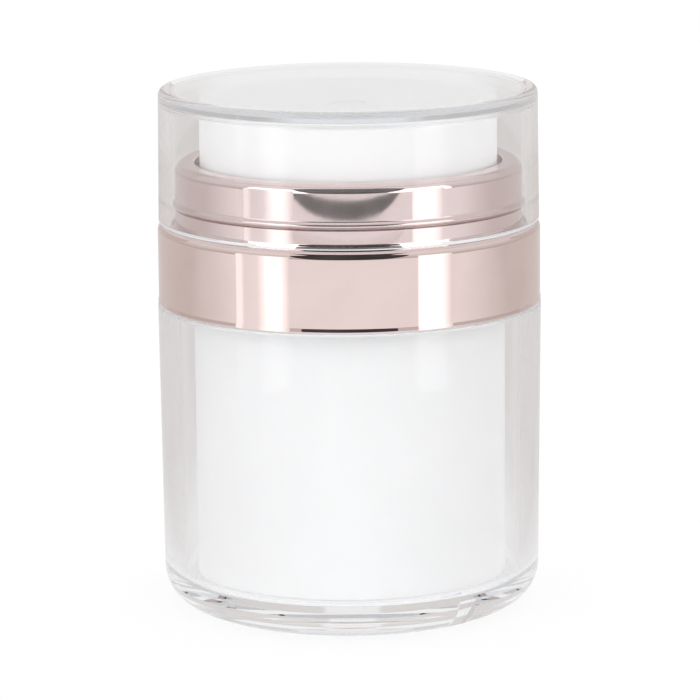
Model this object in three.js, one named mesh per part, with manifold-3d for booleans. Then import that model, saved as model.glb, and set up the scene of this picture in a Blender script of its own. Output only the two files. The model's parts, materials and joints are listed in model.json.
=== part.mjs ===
// A press-type airless cream jar: clear outer jar, white inner bottle with a follower
// piston, mirror shoulder sleeve, wide white press plate over a small pump, clear cap.
// Millimetres, +Z up, the axis of the jar is Z and the jar stands on z = 0.

import * as THREE from "three";
import { mergeVertices } from "three/addons/utils/BufferGeometryUtils.js";
import Module from "manifold-3d";

// Clearances
const FIT_GAP = 0.3;            // radial, between pieces that fit into each other
const SEAT_GAP = 0.2;           // axial, between pieces that rest on each other
const SLIDE_GAP = 0.15;         // radial, between the small sliding pieces of the pump
const END_GAP = 0.4;            // left at the end of a stroke

// Radial sizes, from the cream chamber outwards
const BOTTLE_RADIUS = 25.25;    // outside of the white inner bottle
const BOTTLE_WALL = 1.45;
const AIR_GAP = 2.75;           // between the inner bottle and the clear jar
const THREAD_DEPTH = 0.8;
const COLLAR_WALL = 2.85;       // screw collar
const SLEEVE_WALL = 1.45;       // shoulder sleeve
const RIM_OVERHANG = 0.15;      // clear jar's rim beyond the sleeve
const JAR_DRAFT = 0.45;         // radius lost from the clear jar's rim to its foot
const LEDGE_WIDTH = 2.85;       // ledge of the sleeve that carries the cap
const RING_WALL = 1.5;          // upper ring of the sleeve
const LIP_OVERHANG = 1.85;      // inward lip on top of the upper ring
const PLATE_GAP = 0.75;         // seen gap between the lip and the press plate
const PLATE_WALL = 1.4;
const BEAD_DEPTH = 0.6;         // snap bead that holds the cap
const CAP_FIT = 0.25;           // between the snap bead and the cap's bore
const CAP_WALL = 1.85;
const CAP_DRAFT = 0.27;         // radius lost from the cap's mouth to its top
const ROOF_GRIP = 1.0;          // how far the screw collar's roof covers the lid's flange
const FOLLOWER_WALL = 1.6;
const FOLLOWER_WAIST = 0.9;     // depth of the groove between the follower's two lips
const LIP_EDGE = 0.6;           // flat edge of a wiping lip
const VENT_RADIUS = 1.5;        // air hole in the inner bottle's floor

// Heights, from the table upwards
const JAR_HEIGHT = 49.8;
const JAR_FLOOR = 5.4;
const FOOT_RECESS = 0.6;
const FOOT_WIDTH = 2.6;         // flat ring that the jar stands on
const BOTTLE_FLOOR = 1.6;
const FOLLOWER_HEIGHT = 9.4;
const FOLLOWER_WEB = 1.6;
const FOLLOWER_HOLLOW = 2.4;    // from the follower's lower edge up to its web
const WIPER_HEIGHT = 1.6;
const FLANGE_THICKNESS = 1.5;   // flange of the inner bottle on the clear jar's rim
const NECK_HEIGHT = 5.9;
const THREAD_PITCH = 2.5;
const THREAD_TURNS = 1.25;
const THREAD_ROOT = 1.1;        // width of a thread ridge at its foot
const THREAD_TOP = 0.6;         // width of a thread ridge at its top
const THREAD_START = 1.5;       // first thread above the bottle's flange
const SEAL_THICKNESS = 0.8;
const LID_FLANGE = 1.2;
const LID_DEPTH = 9.8;          // from the lid's flange down to the underside of its web
const LID_WEB = 1.6;
const LID_WALL = 1.5;
const COLLAR_ROOF = 1.2;
const SLEEVE_ROOF = 1.4;
const RING_HEIGHT = 10.15;      // upper ring above the ledge
const LIP_THICKNESS = 1.2;
const BEAD_RISE = 3.75;         // middle of the snap bead above the ledge
const BEAD_SPAN = 1.2;
const PLATE_RISE = 8.05;        // press plate above the upper ring
const PLATE_RIM = 2.3;          // thickness of the plate at its edge
const PLATE_DISH = 0.8;         // how far the plate's middle lies below its edge
const PLATE_FLANGE = 1.1;
const CAP_HEADROOM = 1.6;       // between the press plate and the cap's ceiling
const CAP_ROOF = 1.9;

// Pump
const STROKE = 5;               // of the press plate
const LOST_MOTION = 1;          // stroke before the stem takes the piston along
const ROD_RADIUS = 2.2;
const ROD_ARM = 1.2;            // width of the arms of the rod's cross section
const ROD_HEAD_RADIUS = 4;
const ROD_HEAD_HEIGHT = 2;
const ROD_GRIP = 8;             // length of the rod inside the stem
const STEM_WALL = 1.75;
const CYLINDER_BORE = 6.5;
const CYLINDER_WALL = 1.2;
const CYLINDER_RISE = 10.5;     // above its flange
const CYLINDER_FLANGE = 1.5;
const CYLINDER_FLOOR = 1.2;
const GASKET_THICKNESS = 0.6;
const STOP_DEPTH = 3;           // how far the lock cap reaches into the cylinder
const LOCK_ROOF = 1.4;
const LOCK_SKIRT = 4.5;
const LOCK_WALL = 1.1;
const PISTON_HEIGHT = 4.2;
const PISTON_WEB = 1.4;
const PISTON_HUB = 4.2;         // radius of the piston's middle
const BALL_RADIUS = 2;
const BALL_PLAY = 0.5;          // radial play of the ball in its chamber
const BALL_LIFT = 1.5;
const INLET_RADIUS = 1.4;
const INLET_FLOOR = 1.4;
const INLET_WALL = 1.4;
const SPRING_WIRE = 1.2;        // wire diameter
const SPRING_GAP = 0.6;         // between the spring and the lock cap
const SPRING_TURNS = 8;
const SPRING_END_PITCH = 1.7;   // pitch of the closed turn at each end
const FLANGE_MARGIN = 1.5;      // cylinder flange outside the spring
const RETAINER_WALL = 1.2;      // ring on the lid round the cylinder's flange
const RETAINER_HEIGHT = 3.6;
const BOSS_WALL = 1.6;          // boss of the press plate round the stem
const VALVE_RADIUS = 2.8;
const VALVE_THICKNESS = 0.8;
const VALVE_SLIT = 0.5;
const THROAT_RADIUS = 2;        // passage in the plate under the valve

// Roundings of edges
const BASE_ROUNDING = 6.1;
const CAVITY_ROUNDING = 1.5;
const RIM_ROUNDING = 0.5;
const LEDGE_ROUNDING = 0.9;
const RING_ROUNDING = 1.35;
const CAP_ROUNDING = 1.5;
const CAP_INNER_ROUNDING = 0.8;
const PLATE_ROUNDING = 0.6;
const SMALL_ROUNDING = 0.3;
const ROUNDING_SHARE = 0.75;    // most of a side that one rounding may use

// Fineness
const SIDES = 40;               // of the wide turned pieces
const PUMP_SIDES = 24;          // of the pump's turned pieces
const ARC_STEPS = 3;            // least number of sides of a rounding
const ARC_STEP = 1;             // a rounding gets one side per this much of its radius
const SPRING_STEPS = 12;        // per turn
const WIRE_SIDES = 6;
const WELD = 1e-4;

// Radii worked out from the sizes above
const bottleBore = BOTTLE_RADIUS - BOTTLE_WALL;
const threadCrest = BOTTLE_RADIUS + THREAD_DEPTH;
const collarBore = threadCrest + FIT_GAP;
const collarRadius = collarBore + COLLAR_WALL;
const roofHole = BOTTLE_RADIUS - ROOF_GRIP;
const sleeveBore = collarRadius + FIT_GAP;
const sleeveRadius = sleeveBore + SLEEVE_WALL;
const flangeRadius = sleeveBore - FIT_GAP;
const jarRadius = sleeveRadius + RIM_OVERHANG;
const jarFootRadius = jarRadius - JAR_DRAFT;
const jarBore = BOTTLE_RADIUS + AIR_GAP;
const jarFloorRadius = jarBore - JAR_DRAFT;
const ringRadius = sleeveRadius - LEDGE_WIDTH;
const ringBore = ringRadius - RING_WALL;
const lipRadius = ringBore - LIP_OVERHANG;
const plateRadius = lipRadius - PLATE_GAP;
const plateFlangeRadius = ringBore - FIT_GAP;
const beadRadius = ringRadius + BEAD_DEPTH;
const capBore = beadRadius + CAP_FIT;
const capMouthRadius = capBore + CAP_WALL;
const plugRadius = bottleBore - FIT_GAP;
const plugBore = plugRadius - LID_WALL;
const stemBore = ROD_RADIUS + SLIDE_GAP;
const stemRadius = stemBore + STEM_WALL;
const guideRadius = stemRadius + SLIDE_GAP;
const cylinderRadius = CYLINDER_BORE + CYLINDER_WALL;
const lockBore = cylinderRadius + SLIDE_GAP;
const lockRadius = lockBore + LOCK_WALL;
const springRadius = lockRadius + SPRING_GAP + SPRING_WIRE / 2;
const cylinderFlangeRadius = springRadius + SPRING_WIRE / 2 + FLANGE_MARGIN;
const retainerBore = cylinderFlangeRadius + FIT_GAP;
const chamberRadius = BALL_RADIUS + BALL_PLAY;
const keeperRadius = BALL_RADIUS - BALL_PLAY;
const inletRadius = chamberRadius + INLET_WALL;
const bossBore = stemRadius + SLIDE_GAP;
const followerLip = bottleBore - SLIDE_GAP;
const followerWaist = followerLip - FOLLOWER_WAIST;

// Heights worked out from the sizes above
const bottleBase = JAR_FLOOR + SEAT_GAP;
const bottleFloorTop = bottleBase + BOTTLE_FLOOR;
const followerBase = bottleFloorTop + SEAT_GAP;
const followerTop = followerBase + FOLLOWER_HEIGHT;
const flangeBottom = JAR_HEIGHT + SEAT_GAP;
const flangeTop = flangeBottom + FLANGE_THICKNESS;
const bottleRim = flangeTop + NECK_HEIGHT;
const sealBottom = bottleRim + SEAT_GAP;
const sealTop = sealBottom + SEAL_THICKNESS;
const lidFlangeBottom = sealTop + SEAT_GAP;
const lidTop = lidFlangeBottom + LID_FLANGE;
const lidWebBottom = lidTop - LID_DEPTH;
const lidWebTop = lidWebBottom + LID_WEB;
const collarBottom = flangeTop + SEAT_GAP;
const collarRoofBottom = lidTop + SEAT_GAP;
const collarTop = collarRoofBottom + COLLAR_ROOF;
const sleeveBottom = JAR_HEIGHT + SEAT_GAP;
const ledgeBottom = collarTop + SEAT_GAP;
const ledgeTop = ledgeBottom + SLEEVE_ROOF;
const ringTop = ledgeTop + RING_HEIGHT;
const lipBottom = ringTop - LIP_THICKNESS;
const plateFlangeTop = lipBottom - SEAT_GAP;
const plateBottom = plateFlangeTop - PLATE_FLANGE;
const plateTop = ringTop + PLATE_RISE;
const plateUnder = plateTop - PLATE_RIM;
const capMouth = ledgeTop + SEAT_GAP;
const capCeiling = plateTop + CAP_HEADROOM;
const capTop = capCeiling + CAP_ROOF;
const gasketBottom = lidWebTop + SEAT_GAP;
const cylinderFlangeBottom = gasketBottom + GASKET_THICKNESS + SEAT_GAP;
const cylinderFlangeTop = cylinderFlangeBottom + CYLINDER_FLANGE;
const cylinderTop = cylinderFlangeTop + CYLINDER_RISE;
const lockRoofBottom = cylinderTop + SEAT_GAP;
const lockTop = lockRoofBottom + LOCK_ROOF;
const stopBottom = cylinderTop - STOP_DEPTH;
const pistonTop = stopBottom - SEAT_GAP;
const pistonBottom = pistonTop - PISTON_HEIGHT;
const rodHeadTop = pistonBottom - SEAT_GAP;
const rodHeadBottom = rodHeadTop - ROD_HEAD_HEIGHT;
const cylinderFloorTop = rodHeadBottom - STROKE - END_GAP;
const cylinderFloorBottom = cylinderFloorTop - CYLINDER_FLOOR;
const stemBottom = pistonTop + LOST_MOTION + SEAT_GAP;
const stemTop = plateUnder - SEAT_GAP;
const bossBottom = lockTop + STROKE + END_GAP;
const ballSeat = Math.sqrt(BALL_RADIUS ** 2 - INLET_RADIUS ** 2);
const chamberTop = cylinderFloorBottom;
const ballCentre = chamberTop - SEAT_GAP - BALL_LIFT - BALL_RADIUS;
const chamberBottom = ballCentre - ballSeat - SEAT_GAP;
const inletBottom = chamberBottom - INLET_FLOOR;
const valveShelf = plateTop - PLATE_DISH - VALVE_THICKNESS - SEAT_GAP;

const wasm = await Module();
wasm.setup();

const materials = {
  clear: new THREE.MeshStandardMaterial({
    color: 0xf2f4f6, roughness: 0.05, transparent: true, opacity: 0.3,
  }),
  roseGold: new THREE.MeshStandardMaterial({ color: 0xdcb9ae, roughness: 0.08, metalness: 1 }),
  white: new THREE.MeshStandardMaterial({ color: 0xf4f4f2, roughness: 0.35 }),
  natural: new THREE.MeshStandardMaterial({ color: 0xe6e8e6, roughness: 0.5 }),
  seal: new THREE.MeshStandardMaterial({ color: 0xd9dce0, roughness: 0.7 }),
  steel: new THREE.MeshStandardMaterial({ color: 0xc4c6c9, roughness: 0.3, metalness: 1 }),
};

// Turns corners [radius, height, rounding] into a list of points with the roundings drawn.
function outline(corners) {
  const points = [];
  corners.forEach(([radius, height, rounding = 0], index) => {
    const corner = new THREE.Vector2(radius, height);
    if (!rounding) {
      points.push(corner);
      return;
    }
    const [lastRadius, lastHeight] = corners.at(index - 1);
    const [nextRadius, nextHeight] = corners[(index + 1) % corners.length];
    const back = new THREE.Vector2(lastRadius, lastHeight).sub(corner);
    const ahead = new THREE.Vector2(nextRadius, nextHeight).sub(corner);
    const longest = ROUNDING_SHARE * Math.min(back.length(), ahead.length());
    const half = back.angleTo(ahead) / 2;
    const reach = Math.min(rounding / Math.tan(half), longest);
    const arcRadius = reach * Math.tan(half);
    back.normalize();
    ahead.normalize();
    const middle = back.clone().add(ahead).normalize();
    const centre = corner.clone().addScaledVector(middle, arcRadius / Math.sin(half));
    const start = corner.clone().addScaledVector(back, reach).sub(centre).angle();
    const end = corner.clone().addScaledVector(ahead, reach).sub(centre).angle();
    const sweep = Math.atan2(Math.sin(end - start), Math.cos(end - start));
    const steps = Math.max(ARC_STEPS, Math.round(arcRadius / ARC_STEP));
    for (let step = 0; step <= steps; step += 1) {
      const angle = start + (sweep * step) / steps;
      const spoke = new THREE.Vector2(Math.cos(angle), Math.sin(angle));
      points.push(centre.clone().addScaledVector(spoke, arcRadius));
    }
  });
  return points;
}

// Turns an outline about Z. It starts and ends on the axis, or is closed into a ring.
function turned(corners, sides = SIDES) {
  const points = outline(corners);
  if (THREE.ShapeUtils.area(points) < 0) {
    points.reverse();
  }
  const meetsAxis = points[0].x === 0 || points.at(-1).x === 0;
  if (!meetsAxis) {
    points.push(points[0].clone());
  }
  return new THREE.LatheGeometry(points, sides).rotateX(Math.PI / 2);
}

// A ridge or wire that winds up round Z. Its section is [outward, upward] points in
// anticlockwise order, and line(turn) gives the [radius, height] of its middle.
function winding(section, firstTurn, lastTurn, stepsPerTurn, line) {
  const steps = Math.round((lastTurn - firstTurn) * stepsPerTurn);
  const count = section.length;
  const positions = [];
  const faces = [];
  for (let step = 0; step <= steps; step += 1) {
    const turn = firstTurn + step / stepsPerTurn;
    const angle = turn * 2 * Math.PI;
    const [radius, height] = line(turn);
    for (const [outward, upward] of section) {
      const reach = radius + outward;
      positions.push(reach * Math.cos(angle), reach * Math.sin(angle), height + upward);
    }
  }
  for (let step = 0; step < steps; step += 1) {
    for (let side = 0; side < count; side += 1) {
      const here = step * count + side;
      const beside = step * count + ((side + 1) % count);
      faces.push(here, here + count, beside, beside, here + count, beside + count);
    }
  }
  const lastRing = steps * count;
  for (let side = 1; side < count - 1; side += 1) {
    faces.push(0, side, side + 1);
    faces.push(lastRing, lastRing + side + 1, lastRing + side);
  }
  const geometry = new THREE.BufferGeometry();
  geometry.setAttribute("position", new THREE.Float32BufferAttribute(positions, 3));
  geometry.setIndex(faces);
  return geometry;
}

// A body for joins and cuts.
function solid(geometry) {
  const bare = new THREE.BufferGeometry();
  bare.setAttribute("position", geometry.attributes.position.clone());
  bare.setIndex(geometry.index.clone());
  const welded = mergeVertices(bare, WELD);
  return new wasm.Manifold(new wasm.Mesh({
    numProp: 3,
    vertProperties: new Float32Array(welded.attributes.position.array),
    triVerts: new Uint32Array(welded.index.array),
  }));
}

function geometryOf(body) {
  const { vertProperties, triVerts } = body.getMesh();
  const geometry = new THREE.BufferGeometry();
  geometry.setAttribute("position", new THREE.BufferAttribute(vertProperties, 3));
  geometry.setIndex(new THREE.BufferAttribute(triVerts, 1));
  return geometry;
}

function joined(...geometries) {
  return geometryOf(wasm.Manifold.union(geometries.map(solid)));
}

// A thread ridge that stands out of a wall at foot and ends at crest.
function threadRidge(foot, crest, firstTurn, turns, firstHeight) {
  const direction = Math.sign(crest - foot);
  const buried = -direction * FIT_GAP;
  const height = crest - foot;
  const section = [
    [buried, -THREAD_ROOT / 2], [height, -THREAD_TOP / 2],
    [height, THREAD_TOP / 2], [buried, THREAD_ROOT / 2],
  ];
  if (direction < 0) {
    section.reverse();
  }
  const line = (turn) => [foot, firstHeight + THREAD_PITCH * turn];
  return winding(section, firstTurn, firstTurn + turns, SIDES, line);
}

function outerJar() {
  const recessRadius = jarFootRadius - BASE_ROUNDING - FOOT_WIDTH;
  return turned([
    [0, FOOT_RECESS], [recessRadius - FOOT_RECESS, FOOT_RECESS], [recessRadius, 0],
    [jarFootRadius, 0, BASE_ROUNDING], [jarRadius, JAR_HEIGHT, RIM_ROUNDING],
    [jarBore, JAR_HEIGHT, SMALL_ROUNDING], [jarFloorRadius, JAR_FLOOR, CAVITY_ROUNDING],
    [0, JAR_FLOOR],
  ]);
}

function innerBottle() {
  const shell = turned([
    [VENT_RADIUS, bottleBase], [BOTTLE_RADIUS, bottleBase, SMALL_ROUNDING],
    [BOTTLE_RADIUS, flangeBottom], [flangeRadius, flangeBottom],
    [flangeRadius, flangeTop], [BOTTLE_RADIUS, flangeTop],
    [BOTTLE_RADIUS, bottleRim], [bottleBore, bottleRim],
    [bottleBore, bottleFloorTop], [VENT_RADIUS, bottleFloorTop],
  ]);
  const firstThread = flangeTop + THREAD_START;
  return joined(shell, threadRidge(BOTTLE_RADIUS, threadCrest, 0, THREAD_TURNS, firstThread));
}

// The collar's ridge runs half a pitch below the bottle's, on the same helix.
function screwCollar() {
  const shell = turned([
    [collarRadius, collarBottom], [collarRadius, collarTop], [roofHole, collarTop],
    [roofHole, collarRoofBottom], [collarBore, collarRoofBottom], [collarBore, collarBottom],
  ]);
  const firstThread = flangeTop + THREAD_START - THREAD_PITCH / 2;
  const ridgeTop = BOTTLE_RADIUS + FIT_GAP;
  const firstTurn = 0.25;
  return joined(shell, threadRidge(collarBore, ridgeTop, firstTurn, THREAD_TURNS, firstThread));
}

function shoulderSleeve() {
  const beadMiddle = ledgeTop + BEAD_RISE;
  return turned([
    [sleeveRadius, sleeveBottom, SMALL_ROUNDING], [sleeveRadius, ledgeTop, LEDGE_ROUNDING],
    [ringRadius, ledgeTop], [ringRadius, beadMiddle - BEAD_SPAN / 2],
    [beadRadius, beadMiddle, SMALL_ROUNDING], [ringRadius, beadMiddle + BEAD_SPAN / 2],
    [ringRadius, ringTop, RING_ROUNDING], [lipRadius, ringTop, SMALL_ROUNDING],
    [lipRadius, lipBottom], [ringBore, lipBottom], [ringBore, ledgeBottom],
    [sleeveBore, ledgeBottom], [sleeveBore, sleeveBottom],
  ]);
}

function clearCap() {
  const capTopRadius = capMouthRadius - CAP_DRAFT;
  const ceilingRadius = capBore - CAP_DRAFT;
  return turned([
    [0, capCeiling], [ceilingRadius, capCeiling, CAP_INNER_ROUNDING], [capBore, capMouth],
    [capMouthRadius, capMouth, SMALL_ROUNDING], [capTopRadius, capTop, CAP_ROUNDING],
    [0, capTop],
  ]);
}

function pressPlate() {
  const skirtBore = plateRadius - PLATE_WALL;
  const valveSeat = VALVE_RADIUS + SLIDE_GAP;
  const dishRadius = skirtBore;
  return turned([
    [bossBore, bossBottom], [bossBore + BOSS_WALL, bossBottom],
    [bossBore + BOSS_WALL, plateUnder], [skirtBore, plateUnder],
    [skirtBore, plateBottom], [plateFlangeRadius, plateBottom],
    [plateFlangeRadius, plateFlangeTop], [plateRadius, plateFlangeTop],
    [plateRadius, plateTop, PLATE_ROUNDING], [dishRadius, plateTop],
    [valveSeat, plateTop - PLATE_DISH], [valveSeat, valveShelf],
    [THROAT_RADIUS, valveShelf], [THROAT_RADIUS, plateUnder], [bossBore, plateUnder],
  ]);
}

function outletValve() {
  const bottom = valveShelf + SEAT_GAP;
  const edge = VALVE_THICKNESS / 2;
  return turned([
    [VALVE_SLIT, bottom], [VALVE_RADIUS, bottom], [VALVE_RADIUS, bottom + edge],
    [VALVE_SLIT, bottom + VALVE_THICKNESS],
  ], PUMP_SIDES);
}

function mainStem() {
  return turned([
    [stemBore, stemBottom], [stemRadius, stemBottom],
    [stemRadius, stemTop], [stemBore, stemTop],
  ], PUMP_SIDES);
}

// The rod's shank is a cross, so that cream passes along it into the stem.
function valveRod() {
  const neck = ROD_RADIUS + SLIDE_GAP;
  const head = turned([
    [0, rodHeadBottom], [neck, rodHeadBottom], [ROD_HEAD_RADIUS, rodHeadTop - SEAT_GAP],
    [ROD_HEAD_RADIUS, rodHeadTop], [0, rodHeadTop],
  ], PUMP_SIDES);
  const shankBottom = rodHeadTop - ROD_HEAD_HEIGHT / 2;
  const shankTop = stemBottom + ROD_GRIP;
  const length = shankTop - shankBottom;
  const armLength = 2 * ROD_RADIUS * Math.cos(Math.asin(ROD_ARM / 2 / ROD_RADIUS));
  const arms = [0, Math.PI / 2].map((angle) => new THREE.BoxGeometry(armLength, ROD_ARM, length)
    .rotateZ(angle)
    .translate(0, 0, shankBottom + length / 2));
  return joined(head, ...arms);
}

function pumpPiston() {
  const lip = CYLINDER_BORE - SLIDE_GAP;
  const groove = (PISTON_HEIGHT - PISTON_WEB) / 2;
  const bore = ROD_RADIUS + SLIDE_GAP;
  const hubTop = pistonTop;
  return turned([
    [bore, pistonBottom], [PISTON_HUB, pistonBottom], [PISTON_HUB, pistonBottom + groove],
    [lip - LIP_EDGE, pistonBottom + groove], [lip - LIP_EDGE, pistonBottom],
    [lip, pistonBottom], [lip, hubTop], [lip - LIP_EDGE, hubTop],
    [lip - LIP_EDGE, hubTop - groove], [PISTON_HUB, hubTop - groove],
    [PISTON_HUB, hubTop], [bore, hubTop],
  ], PUMP_SIDES);
}

function lockCap() {
  const stopRadius = CYLINDER_BORE - SLIDE_GAP;
  return turned([
    [guideRadius, stopBottom], [stopRadius, stopBottom], [stopRadius, lockRoofBottom],
    [lockBore, lockRoofBottom], [lockBore, lockRoofBottom - LOCK_SKIRT],
    [lockRadius, lockRoofBottom - LOCK_SKIRT], [lockRadius, lockTop], [guideRadius, lockTop],
  ], PUMP_SIDES);
}

function pumpCylinder() {
  return turned([
    [INLET_RADIUS, inletBottom], [inletRadius, inletBottom],
    [inletRadius, cylinderFloorBottom], [cylinderRadius, cylinderFloorBottom],
    [cylinderRadius, cylinderFlangeBottom], [cylinderFlangeRadius, cylinderFlangeBottom],
    [cylinderFlangeRadius, cylinderFlangeTop], [cylinderRadius, cylinderFlangeTop],
    [cylinderRadius, cylinderTop], [CYLINDER_BORE, cylinderTop],
    [CYLINDER_BORE, cylinderFloorTop], [keeperRadius, cylinderFloorTop],
    [keeperRadius, chamberTop], [chamberRadius, chamberTop],
    [chamberRadius, chamberBottom], [INLET_RADIUS, chamberBottom],
  ], PUMP_SIDES);
}

function inletBall() {
  const rows = 10;
  return new THREE.SphereGeometry(BALL_RADIUS, PUMP_SIDES, rows)
    .rotateX(Math.PI / 2)
    .translate(0, 0, ballCentre);
}

function cylinderGasket() {
  return turned([
    [cylinderRadius + FIT_GAP, gasketBottom], [cylinderFlangeRadius, gasketBottom],
    [cylinderFlangeRadius, gasketBottom + GASKET_THICKNESS],
    [cylinderRadius + FIT_GAP, gasketBottom + GASKET_THICKNESS],
  ], PUMP_SIDES);
}

function innerLid() {
  const hole = cylinderRadius + FIT_GAP;
  const retainerRadius = retainerBore + RETAINER_WALL;
  const retainerTop = lidWebTop + RETAINER_HEIGHT;
  return turned([
    [hole, lidWebBottom], [plugRadius, lidWebBottom], [plugRadius, lidFlangeBottom],
    [BOTTLE_RADIUS, lidFlangeBottom], [BOTTLE_RADIUS, lidTop], [plugBore, lidTop],
    [plugBore, lidWebTop], [retainerRadius, lidWebTop], [retainerRadius, retainerTop],
    [retainerBore, retainerTop], [retainerBore, lidWebTop], [hole, lidWebTop],
  ]);
}

function lidSeal() {
  return turned([
    [bottleBore, sealBottom], [BOTTLE_RADIUS, sealBottom],
    [BOTTLE_RADIUS, sealTop], [bottleBore, sealTop],
  ]);
}

function followerPiston() {
  const wallBore = followerWaist - FOLLOWER_WALL;
  const webBottom = followerBase + FOLLOWER_HOLLOW;
  const webTop = webBottom + FOLLOWER_WEB;
  return turned([
    [0, webBottom], [wallBore, webBottom], [followerLip - LIP_EDGE, followerBase],
    [followerLip, followerBase], [followerWaist, followerBase + WIPER_HEIGHT],
    [followerWaist, followerTop - WIPER_HEIGHT], [followerLip, followerTop],
    [followerLip - LIP_EDGE, followerTop], [wallBore, webTop], [0, webTop],
  ]);
}

// The spring has one closed turn at each end and an even pitch between them.
function returnSpring() {
  const bottom = cylinderFlangeTop + SEAT_GAP + SPRING_WIRE / 2;
  const top = plateUnder - SEAT_GAP - SPRING_WIRE / 2;
  const openPitch = (top - bottom - 2 * SPRING_END_PITCH) / (SPRING_TURNS - 2);
  const heightAt = (turn) => {
    const low = Math.min(turn, 1);
    const high = Math.max(turn - (SPRING_TURNS - 1), 0);
    const open = turn - low - high;
    return bottom + SPRING_END_PITCH * (low + high) + openPitch * open;
  };
  let leastGap = Infinity;
  for (let turn = 0; turn <= SPRING_TURNS - 1; turn += 1 / SPRING_STEPS) {
    leastGap = Math.min(leastGap, heightAt(turn + 1) - heightAt(turn) - SPRING_WIRE);
  }
  console.log(`return_spring least gap to itself ${leastGap.toFixed(2)} mm`);
  const section = Array.from({ length: WIRE_SIDES }, (_, side) => {
    const angle = (2 * Math.PI * side) / WIRE_SIDES;
    return [(SPRING_WIRE / 2) * Math.cos(angle), (SPRING_WIRE / 2) * Math.sin(angle)];
  });
  const line = (turn) => [springRadius, heightAt(turn)];
  return winding(section, 0, SPRING_TURNS, SPRING_STEPS, line);
}

const pieces = [
  ["outer_jar", outerJar, materials.clear],
  ["inner_bottle", innerBottle, materials.white],
  ["follower_piston", followerPiston, materials.natural],
  ["lid_seal", lidSeal, materials.seal],
  ["inner_lid", innerLid, materials.white],
  ["cylinder_gasket", cylinderGasket, materials.seal],
  ["pump_cylinder", pumpCylinder, materials.natural],
  ["inlet_ball", inletBall, materials.steel],
  ["lock_cap", lockCap, materials.white],
  ["pump_piston", pumpPiston, materials.natural],
  ["valve_rod", valveRod, materials.natural],
  ["main_stem", mainStem, materials.white],
  ["return_spring", returnSpring, materials.steel],
  ["press_plate", pressPlate, materials.white],
  ["outlet_valve", outletValve, materials.seal],
  ["screw_collar", screwCollar, materials.white],
  ["shoulder_sleeve", shoulderSleeve, materials.roseGold],
  ["clear_cap", clearCap, materials.clear],
];

const jar = new THREE.Group();
jar.name = "airless_press_jar";
for (const [name, shape, material] of pieces) {
  const mesh = new THREE.Mesh(shape(), material);
  mesh.name = name;
  jar.add(mesh);
}

export default jar;
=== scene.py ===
"""Looks of a press-type airless cream jar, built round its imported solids.

The clear jar and cap, the white bottle and press plate and the mirror sleeve are turned
again with fine outlines. The pump's pieces inside are turned finely from the solids' own
outlines. Lengths are in millimetres until a mesh is made.
"""

import json
import math
from collections import defaultdict

import bmesh
import bpy
from mathutils import Matrix, Vector


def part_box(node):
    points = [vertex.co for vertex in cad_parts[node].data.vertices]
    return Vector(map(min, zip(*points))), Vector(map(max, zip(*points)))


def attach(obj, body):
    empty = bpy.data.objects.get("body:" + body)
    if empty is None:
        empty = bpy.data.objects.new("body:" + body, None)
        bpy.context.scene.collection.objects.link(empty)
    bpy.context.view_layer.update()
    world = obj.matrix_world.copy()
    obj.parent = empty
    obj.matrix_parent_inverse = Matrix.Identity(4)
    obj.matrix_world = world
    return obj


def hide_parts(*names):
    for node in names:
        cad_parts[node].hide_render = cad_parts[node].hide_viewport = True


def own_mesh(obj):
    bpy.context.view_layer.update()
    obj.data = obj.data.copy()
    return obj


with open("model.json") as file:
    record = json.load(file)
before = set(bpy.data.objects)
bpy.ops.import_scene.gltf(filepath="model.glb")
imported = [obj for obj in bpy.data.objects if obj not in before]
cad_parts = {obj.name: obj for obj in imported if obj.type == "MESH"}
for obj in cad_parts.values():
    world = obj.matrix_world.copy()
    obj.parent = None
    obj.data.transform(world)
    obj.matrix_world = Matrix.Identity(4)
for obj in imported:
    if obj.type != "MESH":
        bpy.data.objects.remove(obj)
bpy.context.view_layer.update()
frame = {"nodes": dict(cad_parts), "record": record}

MM = 0.001

# Camera, fitted to the photograph's frame
CAMERA_DISTANCE = 640.2
CAMERA_ELEVATION = 11.63        # degrees
CAMERA_ROLL = -0.51             # degrees
CAMERA_TARGET = (0.0, 0.0, 41.14)
CAMERA_LENS = 201.9
CAMERA_SENSOR = 36
CAMERA_CLIP = (0.01, 20)        # metres

# Fineness
SIDES = 192
SMALL_SIDES = 96                # of the small pieces inside
ARC_ANGLE = math.radians(9)     # of one side of a rounding
LEAST_ARC_SIDES = 2
SHARP_ANGLE = math.radians(38)
GATE_SHARP_ANGLE = math.radians(20)
ROUNDING_SHARE = 0.48           # most of a side that one rounding may use
SUPPORT = 0.04                  # a ring this near to each end keeps a straight wall straight
SUPPORTED_SIDE = 10 * SUPPORT   # shorter walls get no such rings
MOULDED_EDGE = 0.12             # rounding of the small pieces' edges
BEVEL_SIDES = 2
EDGE = 0.2                      # rounding of most other edges
SOFT_EDGE = 0.3
ON_PLANE = 1e-7                 # metres; a point of a solid this near to a plane lies on it
OUTLINE_DIGITS = 4              # of a solid's outline

# Finishes
NOISE_LOW = 0.3                 # the noise hardly leaves this range
NOISE_HIGH = 0.7
ACRYLIC_TINT = (0.967, 0.972, 0.98, 1)
ACRYLIC_IOR = 1.49
INNER_REFLECTIONS = 1.5         # more than these inside the acrylic, and the light leaves it
LEAVING_TINT = (0.9, 0.905, 0.915, 1)

# Clearances of the solids
FIT_GAP = 0.3
SEAT_GAP = 0.2
SLIDE_GAP = 0.15

# Clear cap
CAP_WALL = 1.85
CAP_ROOF = 1.9
CAP_DRAFT = 0.27
CAP_ROUNDING = 1.0
CAP_INNER_ROUNDING = 0.8
CAP_LEAD_IN = 0.45              # bevel inside the mouth
CAP_LIP_ROUNDING = 0.35

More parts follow.
